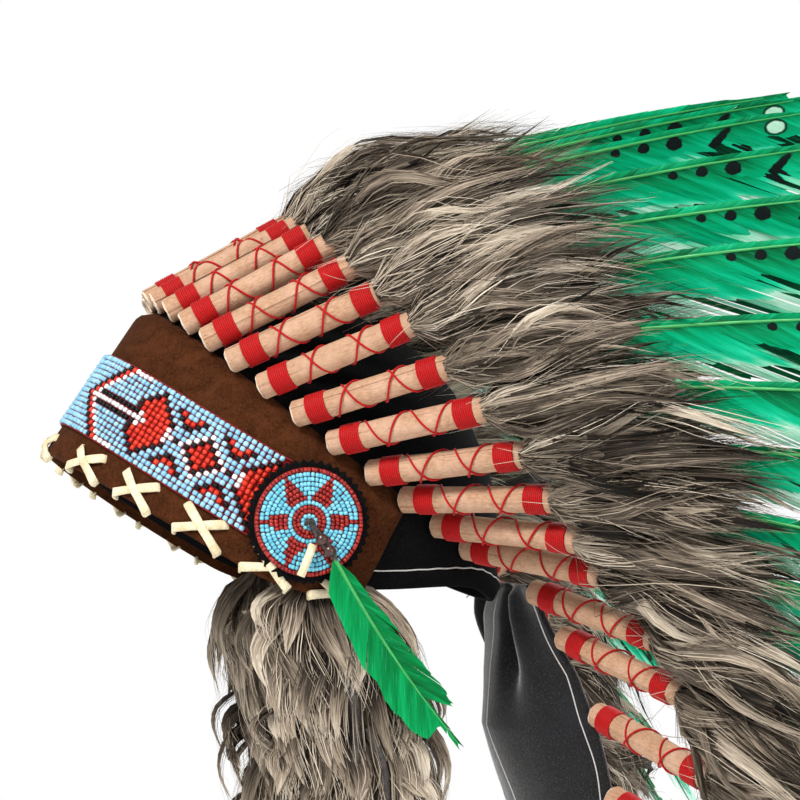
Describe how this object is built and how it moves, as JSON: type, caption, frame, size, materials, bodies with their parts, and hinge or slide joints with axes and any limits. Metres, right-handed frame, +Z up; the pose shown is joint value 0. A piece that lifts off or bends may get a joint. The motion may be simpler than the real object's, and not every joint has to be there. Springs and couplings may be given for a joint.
{
  "type": "feathered headdress",
  "caption": "Felt cap with a beaded suede brow band, side rosettes with fur drops, and a swept row of wrapped quills, fur tufts and green feathers running down a short trailer.",
  "frame": {"origin": "centre of the head opening, in the tilted plane of the brow band's lower edge, where the head sits", "axes": "+Z up, -Y the way the wearer faces, +X the wearer's left side"},
  "size_m": [0.5464, 0.363, 0.4446],
  "materials": {
    "black_felt": "matt brushed felt",
    "brown_suede": "suede nap",
    "seed_beadwork": "opaque glass seed beads, glossy",
    "rosette_beadwork": "opaque glass seed beads, glossy",
    "thread": "spun thread, slight sheen",
    "kraft_wrap": "matt wrap with lengthwise creases",
    "cream_leather": "smooth lace",
    "grey_leather": "soft thong",
    "dark_wood": "polished bead",
    "green_feather": "dyed feather, silky barbs",
    "taupe_fur": "long soft pile"
  },
  "bodies": {
    "root": {"cap": "black_felt", "brow_band": "brown_suede", "bead_band": "seed_beadwork", "trailer": "black_felt", "rosette_felt_left": "black_felt", "rosette_felt_right": "black_felt", "rosette_beads_left": "rosette_beadwork", "rosette_beads_right": "rosette_beadwork", "drop_thong_left": "grey_leather", "drop_thong_right": "grey_leather", "drop_bead_left_1": "dark_wood", "drop_bead_left_2": "dark_wood", "drop_bead_right_1": "dark_wood", "drop_bead_right_2": "dark_wood", "drop_feather_left": "green_feather", "drop_feather_right": "green_feather", "drop_fur_left": "taupe_fur", "drop_fur_right": "taupe_fur", "plume_front": "green_feather", "plume_left_01": "green_feather", "plume_left_02": "green_feather", "plume_left_03": "green_feather", "plume_left_04": "green_feather", "plume_left_05": "green_feather", "plume_left_06": "green_feather", "plume_left_07": "green_feather", "plume_left_08": "green_feather", "plume_left_09": "green_feather", "plume_left_10": "green_feather", "plume_left_11": "green_feather", "plume_left_12": "green_feather", "plume_left_13": "green_feather", "plume_left_14": "green_feather", "plume_left_15": "green_feather", "plume_left_16": "green_feather", "plume_right_01": "green_feather", "plume_right_02": "green_feather", "plume_right_03": "green_feather", "plume_right_04": "green_feather", "plume_right_05": "green_feather", "plume_right_06": "green_feather", "plume_right_07": "green_feather", "plume_right_08": "green_feather", "plume_right_09": "green_feather", "plume_right_10": "green_feather", "plume_right_11": "green_feather", "plume_right_12": "green_feather", "plume_right_13": "green_feather", "plume_right_14": "green_feather", "plume_right_15": "green_feather", "plume_right_16": "green_feather"}
  },
  "joints": []
}
